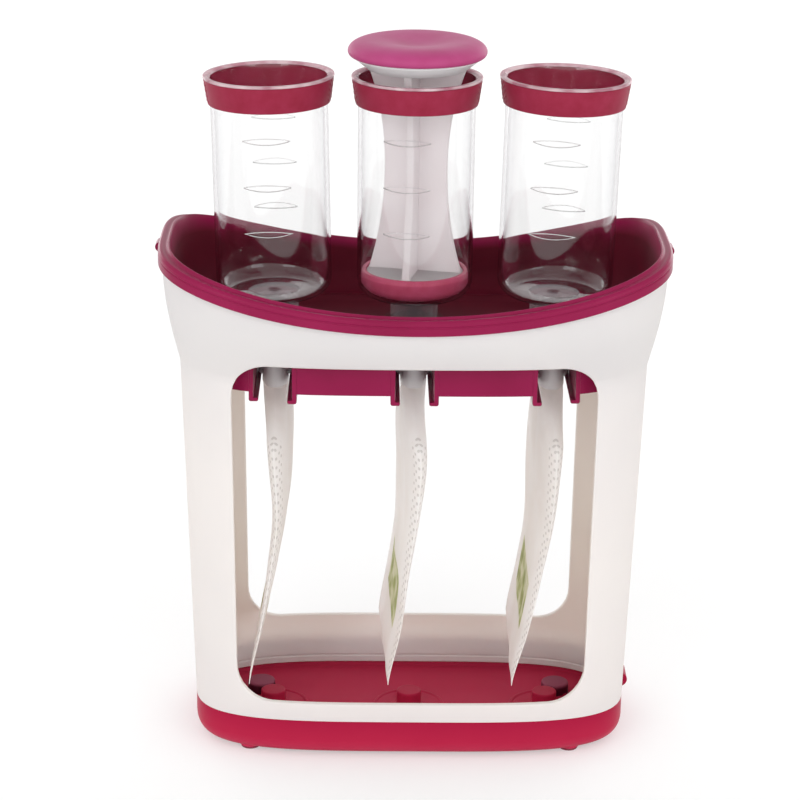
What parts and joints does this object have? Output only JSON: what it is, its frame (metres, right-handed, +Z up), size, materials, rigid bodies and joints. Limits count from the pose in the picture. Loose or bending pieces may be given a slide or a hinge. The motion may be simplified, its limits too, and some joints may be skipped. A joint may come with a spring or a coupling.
{
  "type": "food pouch filling station",
  "caption": "Table-top station for filling food pouches: clear tubes with a plunger over a deep tray, an open housing with pouch guides below, and a shallow base that unlatches.",
  "frame": {"origin": "middle of the object's box on the surface that it stands on", "axes": "+X to the object's right seen from the front, -Y towards the front, +Z up along the tubes"},
  "size_m": [0.2118, 0.1202, 0.2961],
  "materials": {
    "shell_plastic": "satin injection-moulded white plastic",
    "tray_plastic": "satin injection-moulded wine-red plastic",
    "base_plastic": "satin injection-moulded red plastic, slightly see-through",
    "foot_rubber": "soft matt rubber",
    "clear_plastic": "polished clear moulded plastic",
    "band_silicone": "satin moulded silicone",
    "frosted_plastic": "frosted milky moulded plastic",
    "white_plastic": "smooth white moulded plastic",
    "cap_plastic": "satin soft-touch pink moulding",
    "seal_silicone": "soft moulded silicone",
    "pouch_film": "milky laminated film with a printed pattern"
  },
  "bodies": {
    "base": {"base": "base_plastic", "rubber_feet": "foot_rubber"},
    "base_latch": {"base_latch": "base_plastic"},
    "housing": {"housing": "shell_plastic"},
    "tray": {"tray": "tray_plastic"},
    "tray_latch_left": {"tray_latch_left": "tray_plastic"},
    "tray_latch_right": {"tray_latch_right": "tray_plastic"},
    "tube_left": {"tube_left": "clear_plastic", "grip_band_left": "band_silicone"},
    "tube_centre": {"tube_centre": "clear_plastic", "grip_band_centre": "band_silicone"},
    "tube_right": {"tube_right": "clear_plastic", "grip_band_right": "band_silicone"},
    "plunger": {"plunger_stem": "frosted_plastic", "plunger_collar": "white_plastic", "plunger_cap": "cap_plastic", "plunger_seal": "seal_silicone"},
    "pouch_left": {"pouch_left": "pouch_film", "spout_left": "white_plastic"},
    "pouch_centre": {"pouch_centre": "pouch_film", "spout_centre": "white_plastic"},
    "pouch_right": {"pouch_right": "pouch_film", "spout_right": "white_plastic"}
  },
  "joints": [
    {"name": "housing_lift", "type": "slide", "parent": "base", "child": "housing", "axis": [0, 0, 1], "range_m": [0, 0.03]},
    {"name": "base_latch_press", "type": "slide", "parent": "base", "child": "base_latch", "axis": [-1, 0, 0], "range_m": [0, 0.0024], "stiffness_N_per_m": 1200},
    {"name": "tray_lift", "type": "slide", "parent": "housing", "child": "tray", "axis": [0, 0, 1], "range_m": [0, 0.065]},
    {"name": "tray_latch_left_press", "type": "slide", "parent": "tray", "child": "tray_latch_left", "axis": [1, 0, 0], "range_m": [0, 0.0009], "stiffness_N_per_m": 2000},
    {"name": "tray_latch_right_press", "type": "slide", "parent": "tray", "child": "tray_latch_right", "axis": [-1, 0, 0], "range_m": [0, 0.0009], "stiffness_N_per_m": 2000},
    {"name": "tube_left_lift", "type": "slide", "parent": "tray", "child": "tube_left", "axis": [-0.0227, 0, 0.9997], "range_m": [0, 0.05]},
    {"name": "tube_centre_lift", "type": "slide", "parent": "tray", "child": "tube_centre", "axis": [0, 0, 1], "range_m": [0, 0.05]},
    {"name": "tube_right_lift", "type": "slide", "parent": "tray", "child": "tube_right", "axis": [0.0227, 0, 0.9997], "range_m": [0, 0.05]},
    {"name": "plunger_slide", "type": "slide", "parent": "tube_centre", "child": "plunger", "axis": [0, 0, 1], "range_m": [0, 0.095]},
    {"name": "pouch_left_slide", "type": "slide", "parent": "tray", "child": "pouch_left", "axis": [0, -1, 0], "range_m": [0, 0.13]},
    {"name": "pouch_centre_slide", "type": "slide", "parent": "tray", "child": "pouch_centre", "axis": [0, -1, 0], "range_m": [0, 0.13]},
    {"name": "pouch_right_slide", "type": "slide", "parent": "tray", "child": "pouch_right", "axis": [0, -1, 0], "range_m": [0, 0.13]}
  ]
}
